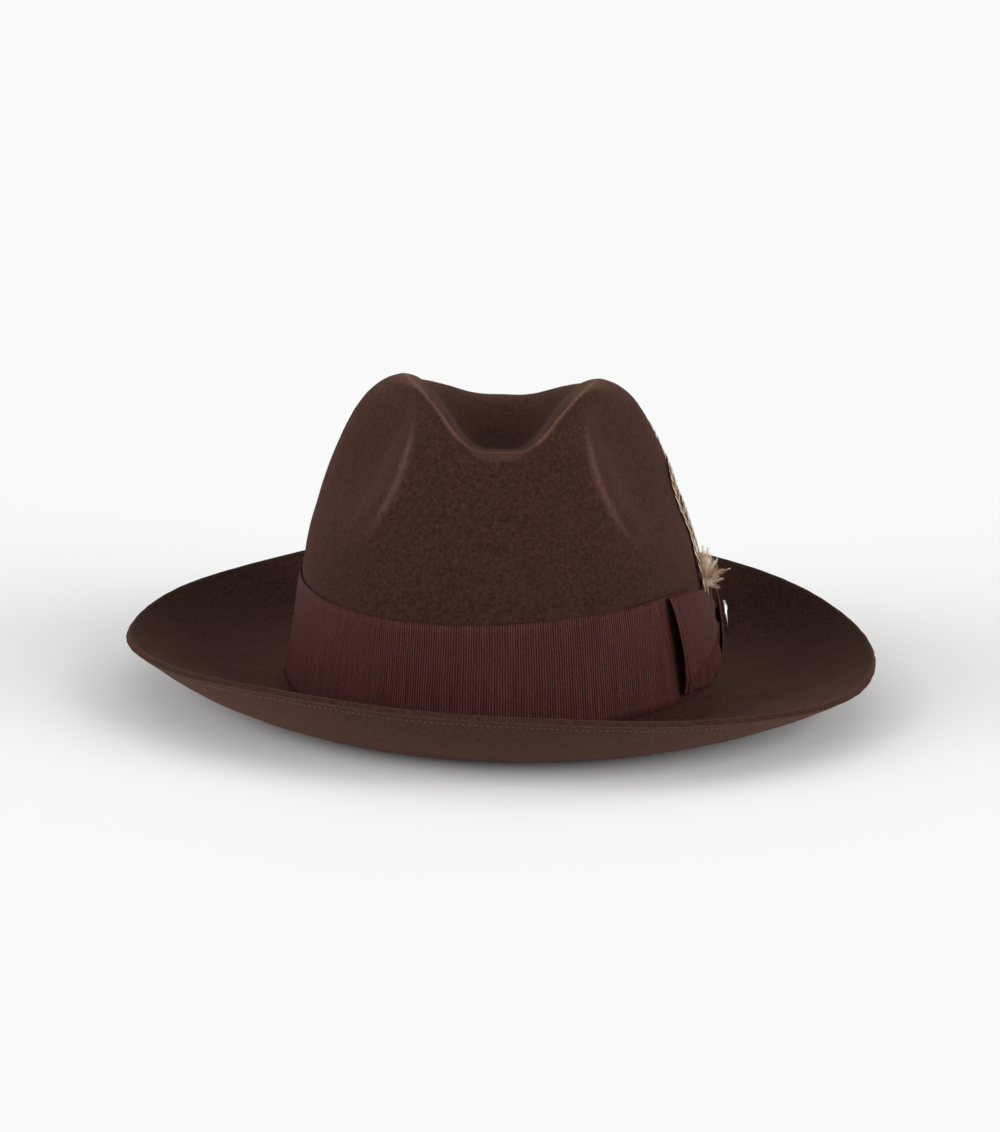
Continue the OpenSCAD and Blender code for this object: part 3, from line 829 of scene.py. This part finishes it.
def plume(strips, rng, base, heading, curl, length, spread):
    """One soft plume: a bent shaft with long loose barbs all round it."""
    heading = np.asarray(heading, float) / np.linalg.norm(heading)

    def shaft(t):
        return base + heading * t * length + np.asarray(curl) * t ** 2 * length

    s = np.linspace(0, 1, 12)[:, None]
    strips.strip(shaft(s), np.array([0, 1.0, 0]) * (0.11 * (1 - 0.85 * s)), np.zeros((12, 2)))
    for _ in range(int(length * 24)):
        t = rng.uniform(0.06, 1.0)
        along = heading + 2 * np.asarray(curl) * t
        away = np.array([rng.gauss(0, 1), rng.gauss(0, 1), rng.gauss(0, 1)])
        away -= along * np.dot(away, along) / np.dot(along, along)
        away /= np.linalg.norm(away) + 1e-9
        reach = spread * rng.uniform(0.55, 1.15)
        reach *= 0.35 + math.sin(math.pi * min(1, t + 0.12)) ** 0.7
        r = np.linspace(0, 1, 6)[:, None]
        wave = 0.22 * reach * np.sin(r * rng.uniform(3, 8)) * np.roll(away, 1)
        barb = shaft(t) + (away * r * (1 - 0.25 * r) + along * 0.75 * r ** 1.4) * reach + wave
        side = np.cross(away, along)
        side = side / (np.linalg.norm(side) + 1e-9) * 0.07
        strips.strip(barb, side * (1 - 0.75 * r), np.zeros((6, 2)))


def make_down():
    """A tuft of down from the feathers' feet: plumes that rise, lean out and droop."""
    rng = random.Random(11)
    strips = Strips()
    foot = side_point(np.radians(-7.0), np.array(STEM_Z + TUCK - 5.0), BAND_FACE + 1.0)
    # heading, curl, length, spread
    plumes = [((-0.10, 0.00, 1.0), (0.02, 0.00, 0.00), 15.0, 2.8),
              ((-0.02, 0.28, 1.0), (0.06, -0.05, 0.00), 14.0, 2.9),
              ((0.04, -0.28, 1.0), (0.08, 0.05, 0.00), 13.5, 2.9),
              ((0.16, 0.05, 1.0), (0.22, 0.00, -0.10), 12.0, 2.6),
              ((0.32, 0.15, 0.9), (0.32, 0.05, -0.25), 10.0, 2.2),
              ((0.42, -0.15, 0.8), (0.42, -0.05, -0.20), 10.5, 1.6),
              ((0.58, 0.20, 0.6), (0.35, 0.10, -0.30), 7.0, 1.7),
              ((0.68, -0.25, 0.4), (0.25, -0.10, -0.45), 5.5, 1.5)]
    for heading, curl, length, spread in plumes:
        base = foot + np.array([rng.gauss(0, 0.25), rng.gauss(0, 0.7), rng.uniform(-0.8, 1.2)])
        plume(strips, rng, base, heading, curl, length, spread)
    puff = strips.build("down_puff", "feather_spray")
    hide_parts("down_tuft")
    paint(puff, down_material())


def make_binding():
    """Waxed thread wound round the stems' feet."""
    turns, low, high = 15, STEM_Z - 8.6, STEM_Z + 0.6
    stems = BAND_FACE + 0.95                      # the stems' middle, off the felt
    t = np.linspace(0, 1, turns * 14)
    w = np.radians(SPRAY_FOOT) + 0.019 * np.cos(TAU * turns * t)
    path = side_point(w, mix(low, high, t), stems + 0.62 * np.sin(TAU * turns * t))
    strips = Strips()
    strips.tube(path, np.full(len(t), 0.22), 6, np.zeros((len(t), 2)))
    core = side_point(np.full(8, math.radians(SPRAY_FOOT)), np.linspace(low - 0.6, high, 8),
                      stems)
    strips.tube(core, np.full(8, 0.62), 8, np.zeros((8, 2)))
    binding = strips.build("stem_binding", "feather_spray")
    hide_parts("feather_binding")
    paint(binding, thread_material("waxed_thread", (0.060, 0.035, 0.025)))


# ---------- pin ----------
PIN_Z = 1.5
PIN_FACE = KNOT_OUT + 1.1           # the plate's back, off the band
PIN_W, PIN_H = 3.9, 7.4             # half width and half height of the plate
HEAD_UP = 4.0                       # height of the round head above the plate's middle
HEAD_R, HEAD_RISE = 2.6, 1.1
PLATE_Z = PIN_Z - 1.9               # the plate hangs a little low on its post


def make_pin():
    """A plain shield plate with a raised rim, a domed head and an enamel field."""
    sides = 72
    t = around(sides)
    ey = np.sign(np.cos(t)) * np.abs(np.cos(t)) ** 0.8 * PIN_W
    ez = np.sign(np.sin(t)) * np.abs(np.sin(t)) ** 0.9 * PIN_H
    ey = ey * (0.86 + 0.14 * ez / PIN_H)
    profile = [(0.0, 0.90), (0.0, 0.985), (0.25, 1.0), (0.75, 1.0), (1.05, 0.96), (1.10, 0.90),
               (0.95, 0.84), (0.78, 0.82), (0.78, 0.60), (0.82, 0.35), (0.84, 0.12)]
    grid = np.stack([on_side(joined(PIN_FACE + x, ey * r, ez * r + PLATE_Z)) for x, r in profile])
    rows = len(profile)
    faces = grid_faces(rows, sides, wrap_cols=True, flip=True)
    faces.append(tuple(range(sides)))
    faces.append(tuple(reversed(range((rows - 1) * sides, rows * sides))))
    plate = put("pin_shield", grid, faces, "pin")
    paint(plate, METAL, enamel_material())
    field = 7 * sides                             # the first point of the profile's field
    for polygon in plate.data.polygons:
        if min(polygon.vertices) >= field:
            polygon.material_index = 1
    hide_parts("pin_plate")
    dome_rows, dome_sides = 9, 40
    a = np.linspace(0, math.pi / 2, dome_rows)[:, None]
    b = around(dome_sides)
    dome = on_side(joined(
        PIN_FACE + 0.6 + HEAD_RISE * np.sin(a), HEAD_R * np.cos(a) * np.cos(b),
        PLATE_Z + HEAD_UP + HEAD_R * np.cos(a) * np.sin(b)))
    faces = grid_faces(dome_rows, dome_sides, wrap_cols=True, flip=True)
    paint(put("pin_stud", dome, faces, "pin"), METAL)
    paint(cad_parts["pin_post"], DARK_METAL)
    paint(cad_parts["pin_clutch"], DARK_METAL)


# ---------- stitches ----------
def stitch_row(name, points, normals, body, material, length=0.66, radius=0.24):
    """Short raised stitches along a closed line, each dipping into the cloth at its ends.

    length is the share of the pitch that a stitch covers.
    """
    strips = Strips()
    steps = len(points)
    for i in range(steps):
        a, b = points[i], points[(i + 1) % steps]
        s = np.linspace(0.5 - length / 2, 0.5 + length / 2, 5)[:, None]
        hump = np.array([-0.10, 0.10, 0.14, 0.10, -0.10])[:, None]
        strips.tube(a + (b - a) * s + normals[i] * hump,
                    np.array([0.5, 0.95, 1.0, 0.95, 0.5]) * radius, 5, np.zeros((5, 2)))
    paint(strips.build(name, body), material)


def even_ring(ring, extra, pitch):
    """Points at an even pitch round a closed ring, with another array carried along."""
    closed = np.concatenate([ring, ring[:1]])
    more = np.concatenate([extra, extra[:1]])
    run = run_along(closed)
    count = int(run[-1] / pitch)
    at = np.arange(count) * run[-1] / count
    take = [np.stack([np.interp(at, run, a[:, i]) for i in range(3)], -1) for a in (closed, more)]
    return take[0], take[1]


def make_brim_stitches(lower):
    """A fine row of stitches under the brim, just inside the cut edge."""
    at, out = even_ring(lower[-3], grid_normals(lower)[-3], 2.3)
    stitch_row("brim_stitches", at, out, "hat",
               thread_material("brim_thread", (0.085, 0.048, 0.037)), length=0.5, radius=0.16)


# ---------- inside ----------
SWEAT_OFF = -(FELT_T + 0.75)        # the leather's outer face, from the felt's upper face
SWEAT_T = 0.9
REED_R = 0.8


def make_sweatband():
    """The leather band inside the opening, with its two rows of stitches."""
    cols = 220
    w = around(cols)
    zs = np.concatenate([[0.5, 0.9], np.linspace(2, 36, 12), [37.6, 38.0]])
    slack = 0.35 * smooth(8, 38, zs)[:, None] * (1 + np.sin(6 * w + 1)[None, :] * 0.6)
    outer, inner = (side_point(w, zs[:, None], SWEAT_OFF - depth - slack)
                    for depth in (0.0, SWEAT_T))
    rings = np.concatenate([outer, inner[::-1]])
    faces = grid_faces(*rings.shape[:2], wrap_rows=True, wrap_cols=True, flip=True)
    band = put("sweatband_leather", rings, faces, "hat")
    paint(band, leather_material())
    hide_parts("sweatband")
    thread = thread_material("sweat_thread", (0.30, 0.20, 0.12))
    for z, pitch in ((3.4, 2.2), (34.5, 3.0)):
        ring = side_point(w, np.full(cols, z), SWEAT_OFF - 0.98 - 0.35 * float(smooth(8, 38, z)))
        at, normal = even_ring(ring, -outward(w), pitch)
        stitch_row(f"sweatband_stitches_{int(z)}", at, normal, "hat", thread)


def make_reed():
    """The plastic reed along the sweatband's lower edge."""
    cols, sides = 220, 10
    w = around(cols)
    a = around(sides)[:, None, None]
    centre = side_point(w, np.zeros(cols), SWEAT_OFF - SWEAT_T / 2)
    grid = centre + REED_R * (np.cos(a) * outward(w) + np.sin(a) * np.array([0, 0, 1.0]))
    grid[..., 2] -= REED_R
    faces = grid_faces(sides, cols, wrap_rows=True, wrap_cols=True, flip=True)
    reed = put("reed_cord", grid, faces, "hat")
    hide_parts("sweatband_reed")
    paint(reed, reed_material())


JOINT_BOW_HALF, JOINT_BOW_TALL = 10.0, 4.0    # half its length, half its height at the ends
JOINT_BOW_SKIN = 0.4


def make_size_bow():
    """The small ribbon bow on the sweatband's joint at the back."""
    rows, cols = 9, 41
    s = np.linspace(-1, 1, cols)[None, :]
    v = np.linspace(-1, 1, rows)[:, None]
    half = mix(1.3, JOINT_BOW_TALL, smooth(0.05, 0.7, np.abs(s)))
    back = side_point(np.array(math.pi / 2), np.array(10.0), SWEAT_OFF - SWEAT_T)
    x = s * JOINT_BOW_HALF + back[0]
    z = back[2] + v * half
    y = back[1] - 1.3 - 0.9 * np.sin(np.abs(s) * math.pi) - 0.25 * np.cos(v * 6) * (1 - np.abs(s))
    bow = put("joint_bow", joined(x, y, z), grid_faces(rows, cols), "hat",
              joined(s * JOINT_BOW_HALF, v * JOINT_BOW_TALL))
    solidify(paint(bow, BOW_RIBBON), JOINT_BOW_SKIN)
    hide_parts("sweatband_bow")
    ring = np.linspace(0, TAU, 25)
    belt = joined(back[0], back[1] - 1.5 + 1.1 * np.cos(ring), back[2] + 2.1 * np.sin(ring))
    wrap = np.stack([belt + np.array([dx, 0, 0]) for dx in (-1.7, -0.9, 0.0, 0.9, 1.7)])
    knot = put("joint_bow_knot", wrap, grid_faces(*wrap.shape[:2]), "hat",
               joined(ring * 2, np.arange(len(wrap))[:, None]))
    solidify(paint(knot, BOW_RIBBON), 0.35)


LINING_LOW, LINING_TURN, TIP_Z = 30.0, 60.0, 84.0    # lower edge, where it turns in, the tip
TIP_SHARE = 0.74                    # the tip's size, as a share of the opening at the turn
LINING_SKIN = 0.3


def lining_point(w, z, off):
    """A point of the lining's side, which hugs the crown and then turns in to the tip."""
    clear = FELT_T + GAP + 1.8 * smooth(45, LINING_TURN, z)
    turn = side_point(w, np.minimum(z, LINING_TURN), off - clear)
    share = 1 - (1 - TIP_SHARE) * np.maximum(0, z - LINING_TURN) / (TIP_Z - LINING_TURN)
    return joined(turn[..., 0] * share, turn[..., 1] * share, z + FELT_T)


def make_lining():
    """The gathered side, the flat tip and the seam between them."""
    cols, rows = 360, 22
    w, z = np.meshgrid(around(cols), np.linspace(LINING_LOW, TIP_Z, rows))
    folds = 0.55 * smooth(44, 72, z) * (np.sin(45 * w) + 0.5 * np.sin(28 * w + 1) - 1.2)
    grid = lining_point(w, z, folds - 0.2)
    side = put("lining_wall", grid, grid_faces(rows, cols, wrap_cols=True), "hat")
    solidify(paint(side, LINING), LINING_SKIN)
    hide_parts("lining_side")
    shares = np.linspace(1.0, 0.04, 16)
    ring = lining_point(around(cols), TIP_Z, -0.6)
    tip = np.stack([joined(ring[:, 0] * s, ring[:, 1] * s,
                           ring[:, 2] + 2.4 * (1 - s * s) + 0.12 * np.sin(40 * s))
                    for s in shares])
    top = tip[-1].mean(0)
    verts = np.concatenate([tip.reshape(-1, 3), [top]])
    faces = grid_faces(len(shares), cols, wrap_cols=True)
    last = (len(shares) - 1) * cols
    faces += [(last + (j + 1) % cols, last + j, len(verts) - 1) for j in range(cols)]
    cap = put("lining_crown", verts, faces, "hat")
    solidify(paint(cap, LINING), LINING_SKIN)
    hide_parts("lining_tip")
    at, normal = even_ring(ring - np.array([0, 0, 0.3]), -outward(w[0]), 3.2)
    stitch_row("lining_stitches", at, normal, "hat",
               thread_material("lining_thread", (0.25, 0.15, 0.09)))


# ---------- stage ----------
FLOOR_HALF = 14.0                   # metres
FLOOR_DROP = 0.0002                 # metres, so that the brim's underside stays above it
WORLD_GREY, WORLD_STRENGTH = 0.97, 0.50


def make_stage():
    """A plain pale floor and an even grey sky."""
    floor_m = Nodes("floor")
    floor_m.colour(floor_m.ramp(floor_m.noise(3, 2), (0.3, (0.950, 0.950, 0.948)),
                                (0.7, (0.960, 0.960, 0.958))))
    floor_m.set(Roughness=0.9, Specular_IOR_Level=0.1)
    mesh = bpy.data.meshes.new("floor")
    corners = [(x * FLOOR_HALF, y * FLOOR_HALF, 0) for x, y in ((-1, -1), (1, -1), (1, 1), (-1, 1))]
    mesh.from_pydata(corners, [], [(0, 1, 2, 3)])
    floor = bpy.data.objects.new("floor", mesh)
    floor.location.z = -FLOOR_DROP
    bpy.context.scene.collection.objects.link(floor)
    mesh.materials.append(floor_m.material)
    world = bpy.context.scene.world or bpy.data.worlds.new("world")
    bpy.context.scene.world = world
    world.use_nodes = True
    sky = world.node_tree.nodes["Background"].inputs
    sky["Color"].default_value = (WORLD_GREY, WORLD_GREY, WORLD_GREY, 1)
    sky["Strength"].default_value = WORLD_STRENGTH


def add_sun(name, azimuth, elevation, spread, strength):
    """A soft distant light; azimuth is counted from the hat's front towards its left."""
    light = bpy.data.lights.new(name, "SUN")
    light.angle = math.radians(spread)
    light.energy = strength
    lamp = bpy.data.objects.new(name, light)
    az, el = math.radians(azimuth), math.radians(elevation)
    towards = Vector((math.sin(az) * math.cos(el), -math.cos(az) * math.cos(el), math.sin(el)))
    lamp.rotation_euler = towards.to_track_quat("Z", "Y").to_euler()
    lamp.location = towards * 2
    bpy.context.scene.collection.objects.link(lamp)


def make_camera():
    """The camera stands in front, a little above, and is rolled a little about its axis."""
    elevation, roll, distance = math.radians(11.94), math.radians(1.53), 1.6
    target = Vector((-0.00139, 0.0, 0.04833 + FELT_T * MM))
    back = Vector((0.0, -math.cos(elevation), math.sin(elevation)))
    level = Vector((1.0, 0.0, 0.0))
    upright = back.cross(level)
    right = level * math.cos(roll) + upright * math.sin(roll)
    up = upright * math.cos(roll) - level * math.sin(roll)
    view_height = 0.4528                          # of the frame, at the target
    data = bpy.data.cameras.new("camera")
    data.sensor_fit = "VERTICAL"
    data.sensor_height = 36.0
    data.lens = data.sensor_height * distance / view_height
    camera = bpy.data.objects.new("camera", data)
    camera.matrix_world = Matrix.Translation(target + back * distance) @ Matrix(
        (right, up, back)).transposed().to_4x4()
    bpy.context.scene.collection.objects.link(camera)
    bpy.context.scene.camera = camera


make_camera()
make_stage()
add_sun("key", 62, 17, 55, 2.75)
add_sun("fill", -62, 17, 55, 2.65)
bpy.context.scene.view_settings.view_transform = "Standard"

make_brim_stitches(make_felt())
make_band()
make_loop("bow_loop_front", -1, "bow_front_loop")
make_loop("bow_loop_rear", 1, "bow_rear_loop")
make_knot()
make_feather("barred_feather_long", "feather_long", 64.0, 5.5, 0.0, 0.0, 15.0,
             feather_material("feather_barred", 6.2), 1)
make_feather("barred_feather_mid", "feather_mid", 46.0, 5.0, 0.65, -1.3, 6.0,
             feather_material("feather_mid", 5.0, 1.1), 2)
make_feather("barred_feather_short", "feather_short", 30.0, 4.4, 1.3, 1.2, 5.0,
             feather_material("feather_short", 4.0, 2.3), 3)
make_down()
make_binding()
make_pin()
make_sweatband()
make_reed()
make_size_bow()
make_lining()
